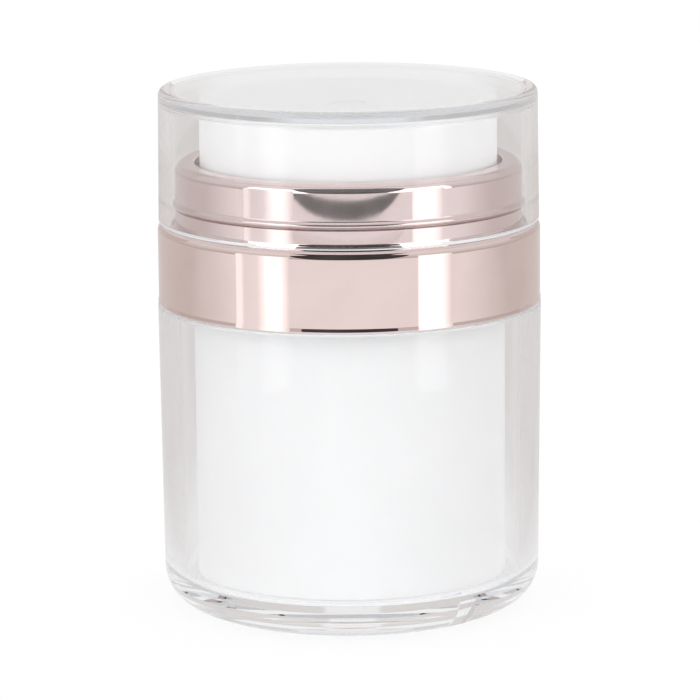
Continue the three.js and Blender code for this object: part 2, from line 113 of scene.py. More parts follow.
# Shoulder sleeve
SLEEVE_WALL = 1.45
LEDGE_WIDTH = 2.85
SLEEVE_ROOF = 1.4
RING_WALL = 1.5
LIP_OVERHANG = 1.85
LIP_THICKNESS = 1.2
BEAD_RISE = 3.75
BEAD_SPAN = 1.2
BEAD_DEPTH = 0.6
BEAD_ROUNDING = 0.6
GROOVE_DEPTH = 0.35             # groove under the bead
GROOVE_WIDTH = 0.22
GROOVE_EDGE = 0.03
LEDGE_ROUNDING = 1.2
RING_ROUNDING = 1.35
SLEEVE_EDGE = 0.35
FOOT_FLARE = 0.1
FOOT_LIP = 0.25
FOOT_HEIGHT = 0.75
SLEEVE_FILLET = 0.25

# Press plate
PLATE_GAP = 0.75
PLATE_WALL = 1.4
PLATE_RIM = 2.3
PLATE_DISH = 0.8
PLATE_FLANGE = 1.1
PLATE_ROUNDING = 0.6
PLATE_FILLET = 0.45
DISH_STEPS = 14
BOSS_WALL = 1.6
THROAT_RADIUS = 2.0

# Clear jar
JAR_DRAFT = 0.45
JAR_FLOOR = 5.4
AIR_GAP = 2.75
FOOT_RECESS = 0.6
FOOT_WIDTH = 2.6
BASE_ROUNDING = 6.1
CAVITY_ROUNDING = 1.5
RIM_ROUNDING = 0.5
GATE_AZIMUTH = 37.0             # degrees to the right of the front
GATE_WIDTH = 3.5
GATE_DEPTH = 0.9                # of the flat that is cut into the base's rounding
GATE_SLOPE = 38.0               # degrees that the flat leans back
GATE_REACH = 3 * BASE_ROUNDING  # height of the block that cuts it

# Inner bottle and screw collar
BOTTLE_WALL = 1.45
BOTTLE_FLOOR = 1.6
BOTTLE_FOOT_ROUNDING = 0.7
BOTTLE_INNER_ROUNDING = 1.0
NECK_HEIGHT = 5.9
FLANGE_THICKNESS = 1.5
VENT_RADIUS = 1.5
COLLAR_WALL = 2.85
COLLAR_ROOF = 1.2
ROOF_GRIP = 1.0
THREAD_DEPTH = 0.8
THREAD_PITCH = 2.5
THREAD_TURNS = 1.25
THREAD_ROOT = 1.1
THREAD_TOP = 0.6
THREAD_START = 1.5
THREAD_STEPS = 96               # per turn
THREAD_RUNOUT = 0.08            # turns over which a ridge's end fades out
THREAD_LEAST = 0.05             # share of its height that the ridge ends with
COLLAR_THREAD_START = 0.25      # turns from the bottle's thread to the collar's

# Return spring
SPRING_TURNS = 8
SPRING_WIRE = 1.2
SPRING_END_PITCH = 1.7
SPRING_STEPS = 40               # per turn
WIRE_SIDES = 14

# Solids inside the jar that are copied with a finer outline
FINE_COPIES = (
    "follower_piston", "lid_seal", "inner_lid", "cylinder_gasket", "pump_cylinder",
    "inlet_ball", "lock_cap", "pump_piston", "main_stem", "outlet_valve",
)


def span(node):
    """Radius, lowest and highest point of a turned solid, in millimetres."""
    low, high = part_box(node)
    return high[0] / MM, low[2] / MM, high[2] / MM


def arc_points(corner, before, after, rounding):
    """The points that round off a corner between its two neighbours."""
    back = before - corner
    ahead = after - corner
    half = back.angle(ahead) / 2
    reach = rounding / math.tan(half)
    reach = min(reach, ROUNDING_SHARE * min(back.length, ahead.length))
    radius = reach * math.tan(half)
    back.normalize()
    ahead.normalize()
    centre = corner + (back + ahead).normalized() * (radius / math.sin(half))
    first = corner + back * reach - centre
    last = corner + ahead * reach - centre
    start = math.atan2(first.y, first.x)
    turn = math.atan2(last.y, last.x) - start
    turn = math.atan2(math.sin(turn), math.cos(turn))
    steps = max(LEAST_ARC_SIDES, round(abs(turn) / ARC_ANGLE))
    angles = [start + turn * step / steps for step in range(steps + 1)]
    return [centre + radius * Vector((math.cos(a), math.sin(a))) for a in angles]


def outline(corners):
    """Points of an outline whose corners are (radius, height, rounding)."""
    flat = [Vector(corner[:2]) for corner in corners]
    points = []
    for index, corner in enumerate(corners):
        rounding = corner[2] if len(corner) > 2 else 0
        before = flat[index - 1]
        after = flat[(index + 1) % len(flat)]
        if rounding:
            points.extend(arc_points(flat[index], before, after, rounding))
        else:
            points.append(flat[index])
    return points


def supported(points, closed):
    """The same outline with a point close to both ends of each straight side."""
    sides = list(zip(points, points[1:]))
    if closed:
        sides.append((points[-1], points[0]))
    result = []
    for start, end in sides:
        result.append(start)
        side = end - start
        if side.length > SUPPORTED_SIDE:
            result.append(start + side.normalized() * SUPPORT)
            result.append(end - side.normalized() * SUPPORT)
    return result if closed else result + [points[-1]]


def turned_mesh(name, corners, sides=SIDES):
    """A closed mesh turned about Z. The outline ends on the axis or closes on itself."""
    points = outline(corners)
    closed = points[0].x > 0 and points[-1].x > 0
    points = supported(points, closed)
    shape = bmesh.new()
    rings = []
    for point in points:
        count = sides if point.x > 0 else 1
        angles = [2 * math.pi * side / sides for side in range(count)]
        rings.append([
            shape.verts.new(Vector((point.x * math.cos(a), point.x * math.sin(a), point.y)) * MM)
            for a in angles
        ])
    pairs = list(zip(rings, rings[1:]))
    if closed:
        pairs.append((rings[-1], rings[0]))
    for lower, upper in pairs:
        for side in range(sides):
            following = (side + 1) % sides
            corners_of_face = []
            for vert in (
                lower[side % len(lower)], lower[following % len(lower)],
                upper[following % len(upper)], upper[side % len(upper)],
            ):
                if vert not in corners_of_face:
                    corners_of_face.append(vert)
            if len(corners_of_face) > 2:
                shape.faces.new(corners_of_face)
    return finished_mesh(name, shape)


def finished_mesh(name, shape):
    """Turns a bmesh into a smooth mesh with its faces pointing out."""
    bmesh.ops.recalc_face_normals(shape, faces=shape.faces)
    mesh = bpy.data.meshes.new(name)
    shape.to_mesh(mesh)
    shape.free()
    mesh.shade_smooth()
    mesh.set_sharp_from_angle(angle=SHARP_ANGLE)
    return mesh


def wound_mesh(name, section, first_turn, last_turn, steps_per_turn, line):
    """A ridge or wire that winds up round Z.

    section(turn) gives [outward, upward] points, and line(turn) the radius and height
    of the middle.
    """
    steps = round((last_turn - first_turn) * steps_per_turn)
    shape = bmesh.new()
    rings = []
    for step in range(steps + 1):
        turn = first_turn + step / steps_per_turn
        angle = 2 * math.pi * turn
        radius, height = line(turn)
        rings.append([
            shape.verts.new(Vector((
                (radius + outward) * math.cos(angle),
                (radius + outward) * math.sin(angle),
                height + upward,
            )) * MM)
            for outward, upward in section(turn)
        ])
    for lower, upper in zip(rings, rings[1:]):
        for side in range(len(lower)):
            following = (side + 1) % len(lower)
            shape.faces.new((lower[side], lower[following], upper[following], upper[side]))
    shape.faces.new(reversed(rings[0]))
    shape.faces.new(rings[-1])
    return finished_mesh(name, shape)


def body_of(node):
    """The body that a solid belongs to."""
    bodies = frame["record"]["behaviour"]["bodies"]
    return next(body for body, nodes in bodies.items() if node in nodes)


def slot_of(node):
    """The slot that a solid takes its finish from."""
    subparts = frame["record"]["subparts"]
    return next(part["material_slot"] for part in subparts if part["node"] == node)


def piece(mesh, node, materials):
    """Puts a mesh in the scene in place of a solid, on its body and with its finish."""
    thing = bpy.data.objects.new(mesh.name, mesh)
    bpy.context.scene.collection.objects.link(thing)
    slot = slot_of(node)
    mesh.materials.append(materials[slot])
    true_faces = thing.modifiers.new("true faces", "WEIGHTED_NORMAL")
    true_faces.keep_sharp = True
    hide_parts(node)
    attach(thing, body_of(node))
    return thing


def combined_mesh(name, first, second, operation, sharp_angle=SHARP_ANGLE):
    """One closed mesh from two that overlap, joined or with the second cut away."""
    objects = [bpy.data.objects.new(name, mesh) for mesh in (first, second)]
    for thing in objects:
        bpy.context.scene.collection.objects.link(thing)
    combine = objects[0].modifiers.new("combine", "BOOLEAN")
    combine.operation = operation
    combine.object = objects[1]
    depsgraph = bpy.context.evaluated_depsgraph_get()
    mesh = bpy.data.meshes.new_from_object(objects[0].evaluated_get(depsgraph))
    for thing in objects:
        bpy.data.objects.remove(thing)
    mesh.name = name
    mesh.shade_smooth()
    mesh.set_sharp_from_angle(angle=sharp_angle)
    return mesh


def solid_outline(node):
    """The outline that a turned solid was spun from, read in its half plane x = 0, y < 0."""
    mesh = frame["nodes"][node].data
    links = defaultdict(set)
    keys = {}
    for vert in mesh.vertices:
        if abs(vert.co.x) < ON_PLANE and vert.co.y < ON_PLANE:
            keys[vert.index] = (round(-vert.co.y / MM, OUTLINE_DIGITS),
                                round(vert.co.z / MM, OUTLINE_DIGITS))
    for edge in mesh.edges:
        ends = [keys.get(index) for index in edge.vertices]
        if None not in ends and ends[0] != ends[1]:
            links[ends[0]].add(ends[1])
            links[ends[1]].add(ends[0])
    loose_ends = [point for point, linked in links.items() if len(linked) == 1]
    chain = [min(loose_ends or links)]
    while True:
        ahead = [point for point in sorted(links[chain[-1]]) if point not in chain]
        if not ahead:
            return chain
        chain.append(ahead[0])


def fine_copy(node, materials):
    """A finely turned copy of a small solid, with moulded edges."""
    corners = [(radius, height, MOULDED_EDGE if radius else 0)
               for radius, height in solid_outline(node)]
    mesh = turned_mesh(f"{node}_fine", corners, sides=SMALL_SIDES)
    return piece(mesh, node, materials)


def new_material(name, **settings):
    """A Principled material with its plain values set on the shader's own sockets."""
    material = bpy.data.materials.new(name)
    material.use_nodes = True
    shader = material.node_tree.nodes["Principled BSDF"]
    for socket, value in settings.items():
        shader.inputs[socket.replace("_", " ").title().replace("Ior", "IOR")].default_value = value
    return material


def add_surface(material, grain, rough_low, rough_high, bump_height, detail=3.0):
    """Lets roughness and a faint bump vary over the surface; grain is the pattern's size."""
    nodes = material.node_tree.nodes
    links = material.node_tree.links
    shader = nodes["Principled BSDF"]
    place = nodes.new("ShaderNodeTexCoord")
    noise = nodes.new("ShaderNodeTexNoise")
    noise.inputs["Scale"].default_value = 1 / (grain * MM)
    noise.inputs["Detail"].default_value = detail
    spread = nodes.new("ShaderNodeMapRange")
    spread.inputs["From Min"].default_value = NOISE_LOW
    spread.inputs["From Max"].default_value = NOISE_HIGH
    spread.inputs["To Min"].default_value = rough_low
    spread.inputs["To Max"].default_value = rough_high
    bump = nodes.new("ShaderNodeBump")
    bump.inputs["Filter Width"].default_value = 1.0
    bump.inputs["Distance"].default_value = bump_height * MM
    links.new(place.outputs["Object"], noise.inputs["Vector"])
    links.new(noise.outputs["Fac"], spread.inputs["Value"])
    links.new(spread.outputs["Result"], shader.inputs["Roughness"])
    links.new(noise.outputs["Fac"], bump.inputs["Height"])
    links.new(bump.outputs["Normal"], shader.inputs["Normal"])
    return noise


def tint(material, noise, darker, lighter):
    """Lets the base colour drift a little between two shades."""
    nodes = material.node_tree.nodes
    links = material.node_tree.links
    ramp = nodes.new("ShaderNodeValToRGB")
    ramp.color_ramp.elements[0].position = NOISE_LOW
    ramp.color_ramp.elements[0].color = (*darker, 1)
    ramp.color_ramp.elements[1].position = NOISE_HIGH
    ramp.color_ramp.elements[1].color = (*lighter, 1)
    links.new(noise.outputs["Fac"], ramp.inputs["Fac"])
    links.new(ramp.outputs["Color"], nodes["Principled BSDF"].inputs["Base Color"])


def clear_acrylic():
    """Polished clear acrylic.

    Lamps shine through it to what is inside, and light that has been reflected more than
    once inside it leaves it straight, as it does along the bright edges of a real moulding.
    """
    material = new_material(
        "clear_acrylic", base_color=ACRYLIC_TINT, ior=ACRYLIC_IOR, transmission_weight=1.0,
    )
    add_surface(material, grain=9, rough_low=0.006, rough_high=0.014, bump_height=0.0008)
    nodes = material.node_tree.nodes
    links = material.node_tree.links
    shader = nodes["Principled BSDF"]
    through = nodes.new("ShaderNodeBsdfTransparent")
    path = nodes.new("ShaderNodeLightPath")
    for_lamps = nodes.new("ShaderNodeMixShader")
    links.new(path.outputs["Is Shadow Ray"], for_lamps.inputs["Fac"])
    links.new(shader.outputs["BSDF"], for_lamps.inputs[1])
    links.new(through.outputs["BSDF"], for_lamps.inputs[2])
    often = nodes.new("ShaderNodeMath")
    often.operation = "GREATER_THAN"
    often.inputs[1].default_value = INNER_REFLECTIONS
    straight = nodes.new("ShaderNodeBsdfRefraction")
    straight.inputs["Color"].default_value = LEAVING_TINT
    straight.inputs["Roughness"].default_value = 0.0
    straight.inputs["IOR"].default_value = 1.0
    leaving = nodes.new("ShaderNodeMixShader")
    links.new(path.outputs["Glossy Depth"], often.inputs[0])
    links.new(often.outputs["Value"], leaving.inputs["Fac"])
    links.new(for_lamps.outputs["Shader"], leaving.inputs[1])
    links.new(straight.outputs["BSDF"], leaving.inputs[2])
    links.new(leaving.outputs["Shader"], nodes["Material Output"].inputs["Surface"])
    return material


def rose_gold():
    """Mirror plating on a moulding, with the faint waves of its surface."""
    material = new_material("rose_gold_plate", metallic=1.0)
    noise = add_surface(material, grain=6, rough_low=0.018, rough_high=0.036, bump_height=0.0011)
    tint(material, noise, darker=(0.755, 0.615, 0.59), lighter=(0.785, 0.645, 0.625))
    return material


def white_plastic():
    """Smooth opaque white moulding."""
    material = new_material(
        "white_plastic", ior=1.5, subsurface_weight=0.08, subsurface_scale=0.0015,
        subsurface_radius=(1.0, 0.9, 0.8),
    )
    noise = add_surface(material, grain=5, rough_low=0.34, rough_high=0.42, bump_height=0.0005,
                        detail=1.0)
    tint(material, noise, darker=(0.94, 0.94, 0.938), lighter=(0.95, 0.95, 0.949))
    return material


def natural_polyethylene():
    """Milky moulding without colour."""
    material = new_material(
        "natural_polyethylene", ior=1.51, subsurface_weight=0.35, subsurface_scale=0.002,
        subsurface_radius=(1.0, 1.0, 0.95),
    )
    noise = add_surface(material, grain=0.9, rough_low=0.4, rough_high=0.55, bump_height=0.005)
    tint(material, noise, darker=(0.84, 0.85, 0.84), lighter=(0.9, 0.91, 0.9))
    return material


def seal_elastomer():
    """Soft pale seal with a dull skin."""
    material = new_material(
        "seal_elastomer", ior=1.42, subsurface_weight=0.25, subsurface_scale=0.001,
        subsurface_radius=(0.9, 1.0, 1.0),
    )
    noise = add_surface(material, grain=0.5, rough_low=0.5, rough_high=0.7, bump_height=0.006)
    tint(material, noise, darker=(0.8, 0.82, 0.84), lighter=(0.86, 0.88, 0.9))
    return material


def stainless_steel():
    """Drawn wire and a dull ball."""
    material = new_material("stainless_steel", metallic=1.0)
    noise = add_surface(material, grain=0.35, rough_low=0.29, rough_high=0.38,
                        bump_height=0.004, detail=6.0)
    tint(material, noise, darker=(0.64, 0.65, 0.66), lighter=(0.74, 0.75, 0.76))
    return material


def aim_camera():
    """Puts the camera where the photograph was taken from, rolled a little about its view."""
    tilt = math.radians(CAMERA_ELEVATION)
    roll = math.radians(CAMERA_ROLL)
    back = Vector((0, -math.cos(tilt), math.sin(tilt)))
    level = Vector((1, 0, 0))
    above = back.cross(level)
    right = level * math.cos(roll) + above * math.sin(roll)
    up = above * math.cos(roll) - level * math.sin(roll)
    data = bpy.data.cameras.new("camera")
    data.sensor_width = CAMERA_SENSOR
    data.lens = CAMERA_LENS
    data.clip_start, data.clip_end = CAMERA_CLIP
    camera = bpy.data.objects.new("camera", data)
    bpy.context.scene.collection.objects.link(camera)
    camera.matrix_world = Matrix((right, up, back)).transposed().to_4x4()
    camera.location = (Vector(CAMERA_TARGET) + back * CAMERA_DISTANCE) * MM
    bpy.context.scene.camera = camera


def make_clear_cap(materials):
    """The push-fit cap, a little narrower at its roof than at its mouth."""
    mouth_radius, mouth, top = span("clear_cap")
    ceiling = top - CAP_ROOF
    bore = mouth_radius - CAP_WALL
    mesh = turned_mesh("cap_clear", [
        (0, ceiling), (bore - CAP_DRAFT, ceiling, CAP_INNER_ROUNDING),
        (bore, mouth + CAP_LEAD_IN, EDGE), (bore + CAP_LEAD_IN, mouth, MOULDED_EDGE),
        (mouth_radius, mouth, CAP_LIP_ROUNDING), (mouth_radius - CAP_DRAFT, top, CAP_ROUNDING),
        (0, top),
    ])
    piece(mesh, "clear_cap", materials)


def make_sleeve(materials):
    """The mirror sleeve: its band, the ledge, and the ring with the cap's snap bead."""
    radius, bottom, top = span("shoulder_sleeve")
    ledge = span("clear_cap")[1] - SEAT_GAP
    under = ledge - SLEEVE_ROOF
    bore = radius - SLEEVE_WALL
    ring = radius - LEDGE_WIDTH
    ring_bore = ring - RING_WALL
    lip = ring_bore - LIP_OVERHANG
    bead = ledge + BEAD_RISE
    groove = bead - BEAD_SPAN / 2
    mesh = turned_mesh("sleeve_rose_gold", [
        (radius + FOOT_FLARE, bottom, MOULDED_EDGE),
        (radius + FOOT_FLARE, bottom + FOOT_LIP, MOULDED_EDGE),
        (radius, bottom + FOOT_HEIGHT, SOFT_EDGE), (radius, ledge, LEDGE_ROUNDING),
        (ring, ledge, SLEEVE_FILLET), (ring, groove - GROOVE_WIDTH, GROOVE_EDGE),
        (ring - GROOVE_DEPTH, groove - GROOVE_WIDTH / 2), (ring, groove, GROOVE_EDGE),
        (ring + BEAD_DEPTH, bead, BEAD_ROUNDING), (ring, bead + BEAD_SPAN / 2, SLEEVE_FILLET),
        (ring, top, RING_ROUNDING), (lip, top, SLEEVE_EDGE),
        (lip, top - LIP_THICKNESS, SLEEVE_FILLET), (ring_bore, top - LIP_THICKNESS),
        (ring_bore, under), (bore, under), (bore, bottom, SLEEVE_FILLET),
    ])
    piece(mesh, "shoulder_sleeve", materials)


def make_press_plate(materials):
    """The plate with its skirt and flange, its dished top, and the boss round the stem."""
    flange, bottom, top = span("press_plate")
    stem = span("main_stem")[0]
    valve, valve_bottom, _ = span("outlet_valve")
    boss_bottom = min(height for radius, height in solid_outline("press_plate")
                      if radius < stem + SLIDE_GAP + BOSS_WALL + FIT_GAP)
    plate = flange + FIT_GAP - LIP_OVERHANG - PLATE_GAP
    skirt = plate - PLATE_WALL
    under = top - PLATE_RIM
    seat = valve + SLIDE_GAP
    boss = stem + SLIDE_GAP
    dish = [(seat + (skirt - seat) * step / DISH_STEPS) for step in range(DISH_STEPS, -1, -1)]
    bowl = [(r, top - PLATE_DISH * (1 - ((r - seat) / (skirt - seat)) ** 2)) for r in dish]
    mesh = turned_mesh("plate_white", [
        (boss, boss_bottom, EDGE), (boss + BOSS_WALL, boss_bottom, EDGE),
        (boss + BOSS_WALL, under, PLATE_FILLET), (skirt, under, PLATE_FILLET),
        (skirt, bottom, EDGE), (flange, bottom, EDGE),
        (flange, bottom + PLATE_FLANGE, EDGE), (plate, bottom + PLATE_FLANGE, EDGE),
        (plate, top, PLATE_ROUNDING), *bowl,
        (seat, valve_bottom - SEAT_GAP), (THROAT_RADIUS, valve_bottom - SEAT_GAP),
        (THROAT_RADIUS, under), (boss, under),
    ])
    piece(mesh, "press_plate", materials)


def make_clear_jar(materials):
    """The thick jar with its rounded base, foot ring and gate mark."""
    rim, _, height = span("outer_jar")
    foot = rim - JAR_DRAFT
    bore = bottle_radius() + AIR_GAP
    recess = foot - BASE_ROUNDING - FOOT_WIDTH
    shell = turned_mesh("jar_shell", [
        (0, FOOT_RECESS), (recess - FOOT_RECESS, FOOT_RECESS, SOFT_EDGE), (recess, 0, SOFT_EDGE),
        *[(p.x, p.y) for p in base_curve(foot, rim, height)],
        (rim, height, RIM_ROUNDING), (bore, height, SOFT_EDGE),
        (bore - JAR_DRAFT, JAR_FLOOR, CAVITY_ROUNDING), (0, JAR_FLOOR),
    ])
    mesh = combined_mesh("jar_clear", shell, gate_cutter(foot), "DIFFERENCE", GATE_SHARP_ANGLE)
    piece(mesh, "outer_jar", materials)


def gate_cutter(foot):
    """The block that leaves a flat gate mark on the base's rounding."""
    shape = bmesh.new()
    bmesh.ops.create_cube(shape, size=1)
    flat = BASE_ROUNDING - GATE_DEPTH
    sloped = Matrix.Rotation(math.radians(GATE_SLOPE), 4, "Y")
    turned = Matrix.Rotation(math.radians(GATE_AZIMUTH - 90), 4, "Z")
    middle = Matrix.Translation(Vector((foot - BASE_ROUNDING, 0, BASE_ROUNDING)) * MM)
    outside = Matrix.Translation(Vector((flat + BASE_ROUNDING / 2, 0, 0)) * MM)
    size = Matrix.Diagonal(Vector((BASE_ROUNDING, GATE_WIDTH, GATE_REACH, 1 / MM)) * MM)
    bmesh.ops.transform(shape, matrix=turned @ middle @ sloped @ outside @ size, verts=shape.verts)
    return finished_mesh("gate_cutter", shape)


def base_curve(foot, rim, height):
    """The large rounding between the jar's foot and its wall."""
    corner = Vector((foot, 0))
    inner = Vector((foot - 2 * BASE_ROUNDING / ROUNDING_SHARE, 0))
    wall = Vector((rim, height))
    return arc_points(corner, inner, wall, BASE_ROUNDING)


def bottle_radius():
    """Outside of the inner bottle, which the lid's flange and the seal match."""
    return span("lid_seal")[0]


def thread_mesh(name, foot, crest, first_turn, first_height):
    """A thread ridge on a wall at foot that stands up to crest and fades out at its ends."""
    buried = FIT_GAP if crest < foot else -FIT_GAP
    last_turn = first_turn + THREAD_TURNS

    def section(turn):
        nearest_end = min(turn - first_turn, last_turn - turn)
        share = max(THREAD_LEAST, min(1.0, nearest_end / THREAD_RUNOUT))
        rise = (crest - foot) * share
        side = THREAD_ROOT / 2
        top = THREAD_TOP / 2
        return [(buried, -side), (rise, -top), (rise, top), (buried, side)]

    def line(turn):
        return foot, first_height + THREAD_PITCH * turn

    return wound_mesh(name, section, first_turn, last_turn, THREAD_STEPS, line)


def make_bottle(materials):
    """The bottle with its flange, its threaded neck and the vent under the follower."""
    flange, bottom, rim = span("inner_bottle")
    radius = bottle_radius()
    bore = radius - BOTTLE_WALL
    flange_top = rim - NECK_HEIGHT
    flange_bottom = flange_top - FLANGE_THICKNESS
    floor = bottom + BOTTLE_FLOOR
    shell = turned_mesh("bottle_shell", [
        (VENT_RADIUS, bottom, EDGE), (radius, bottom, BOTTLE_FOOT_ROUNDING),
        (radius, flange_bottom, SOFT_EDGE), (flange, flange_bottom, EDGE),
        (flange, flange_top, EDGE), (radius, flange_top, SOFT_EDGE),
        (radius, rim, EDGE), (bore, rim, EDGE),
        (bore, floor, BOTTLE_INNER_ROUNDING), (VENT_RADIUS, floor, EDGE),
    ])
    ridge = thread_mesh("bottle_thread", radius, radius + THREAD_DEPTH, 0,
                        flange_top + THREAD_START)
    mesh = combined_mesh("bottle_white", shell, ridge, "UNION")
    piece(mesh, "inner_bottle", materials)


def make_screw_collar(materials):
    """The threaded collar that holds the head on the bottle's neck."""
    radius, bottom, top = span("screw_collar")
    bore = radius - COLLAR_WALL
    hole = bottle_radius() - ROOF_GRIP
    under = top - COLLAR_ROOF
    shell = turned_mesh("collar_shell", [
        (radius, bottom, EDGE), (radius, top, EDGE), (hole, top, EDGE), (hole, under, EDGE),
        (bore, under, SOFT_EDGE), (bore, bottom, EDGE),
    ])
    first_height = bottom - SEAT_GAP + THREAD_START - THREAD_PITCH / 2
    ridge = thread_mesh("collar_thread", bore, bottle_radius() + FIT_GAP,
                        COLLAR_THREAD_START, first_height)
    mesh = combined_mesh("collar_white", shell, ridge, "UNION")
    piece(mesh, "screw_collar", materials)


def make_spring(materials):
    """The wire round the pump, wound close at both ends, as it stands at rest."""
    outer, bottom, top = span("return_spring")
    radius = outer - SPRING_WIRE / 2
    low = bottom + SPRING_WIRE / 2
    high = top - SPRING_WIRE / 2
    open_pitch = (high - low - 2 * SPRING_END_PITCH) / (SPRING_TURNS - 2)

    def line(turn):
        closed = min(turn, 1) + max(turn - (SPRING_TURNS - 1), 0)
        return radius, low + SPRING_END_PITCH * closed + open_pitch * (turn - closed)

    def section(turn):
        angles = [2 * math.pi * side / WIRE_SIDES for side in range(WIRE_SIDES)]
        return [(SPRING_WIRE / 2 * math.cos(a), SPRING_WIRE / 2 * math.sin(a)) for a in angles]

    mesh = wound_mesh("spring_wire", section, 0, SPRING_TURNS, SPRING_STEPS, line)
    spring = piece(mesh, "return_spring", materials)
    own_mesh(spring)


def dress_valve_rod(materials):
    """The rod keeps its own solid, with softened edges."""
    rod = frame["nodes"]["valve_rod"]
    rod.data.materials.clear()
    rod.data.materials.append(materials[slot_of("valve_rod")])
    bevel = rod.modifiers.new("moulded edges", "BEVEL")
    bevel.width = MOULDED_EDGE * MM
    bevel.segments = BEVEL_SIDES
    bevel.limit_method = "ANGLE"
    bevel.angle_limit = SHARP_ANGLE


# Studio, in metres
PAPER_HALF_WIDTH = 0.018        # white paper beside the jar's middle
PAPER_SPREAD = 0.05             # how much wider it is for each metre behind the jar
PAPER_EDGE = 0.035
PAPER_FRONT = (-0.13, 0.08)     # from here back, mirrors and glass see painted shade on the table beside the paper
WALL_FOOT = (0.01, 0.08)        # from here up, mirrors and glass see painted shade on the paper behind the jar
WALL_SHADE = 0.45               # share of the painted side shade that it takes on
# painted shade that mirrors and glass see beside the paper; the camera and the lamps find the
# table white
PAINTED_SIDE_SHADE = (0.635, 0.6, 0.58, 1)
PAPER_WHITE = (0.95, 0.95, 0.95, 1)
FLOOR_FRONT = -1.2
FLOOR_BACK = 0.7
FLOOR_SIDE = 1.4
SWEEP_RADIUS = 0.25
SWEEP_HEIGHT = 0.9
SWEEP_STEPS = 12
PAPER_GLOW = 0.85               # share of the paper's white that light and shade don't change
CARD_RADIUS = 0.2               # of the bright cards round the jar
CARD_TOP = 0.115
CARD_STEPS = 24
CARD_LIGHT = 1.7
RIGHT_CARD = (38, 59)           # degrees from the camera to the right, first and last
RIGHT_LEVELS = ((0, 0.75), (0.06, 1), (0.75, 1), (1, 0.58))    # place across it, grey level
LEFT_CARD = (-66, -33)
LEFT_LEVELS = (
    (0, 0.8), (0.064, 0.8), (0.116, 0.6), (0.335, 0.64), (0.515, 1), (0.78, 1), (1, 0.6),
)
STRIP_CARD = (-30, 25)
SCREEN_CARD = (-30, 30)
DARK_RADIUS = 0.575             # of the dark cards in front
DARK_CENTRE = 0.15
DARK_LEVELS = ((0, 0.04), (0.35, 0.08), (0.6, 0.05), (1, 0.07))
DARK_STRIP = 0.005              # height of the low one
STRIP_EXCESS = 1.05             # keeps some of its height at its ends
DARK_BOTTOM = 0.04              # lower and upper edge of the high one
DARK_TOP = 0.8
SCREEN_TAPER = 0.49             # share that each edge of it gives up at its ends
CANOPY = ((-0.3, -0.46), (0.3, 0.35))
FRONT_LAMPS = (("right_box", 46, 1.48), ("left_box", -47, 1.66))     # name, azimuth, radiance
BACK_LAMPS = (("right_fill", 128, 2.05), ("left_fill", -128, 2.05))
LAMP_DISTANCE = 0.75
LAMP_WIDTH = 0.6
LAMP_BOTTOM = 0.03
LAMP_TOP = 0.55
ROOM_GREY = (0.6, 0.575, 0.56, 1)
ROOM_WHITE = (0.97, 0.97, 0.965, 1)
ROOM_WHITE_FROM = 0.8           # height on the sky's ball, from 0 to 1


def make_floor():
    """A pale table with a white paper sweep that rises behind the jar."""
    points = [(FLOOR_FRONT, 0), (0, 0), (FLOOR_BACK, 0)]
    for step in range(1, SWEEP_STEPS + 1):
        angle = math.pi / 2 * step / SWEEP_STEPS
        points.append((FLOOR_BACK + SWEEP_RADIUS * math.sin(angle),
                       SWEEP_RADIUS * (1 - math.cos(angle))))
    points.append((FLOOR_BACK + SWEEP_RADIUS, SWEEP_HEIGHT))
    shape = bmesh.new()
    rows = [[shape.verts.new((side * FLOOR_SIDE, y, z)) for side in (-1, 1)] for y, z in points]
    for near, far in zip(rows, rows[1:]):
        shape.faces.new((near[0], near[1], far[1], far[0]))
    mesh = bpy.data.meshes.new("floor")
    shape.to_mesh(mesh)
    shape.free()
    mesh.shade_smooth()
    mesh.materials.append(paper_material())
    floor = bpy.data.objects.new("floor", mesh)
    bpy.context.scene.collection.objects.link(floor)


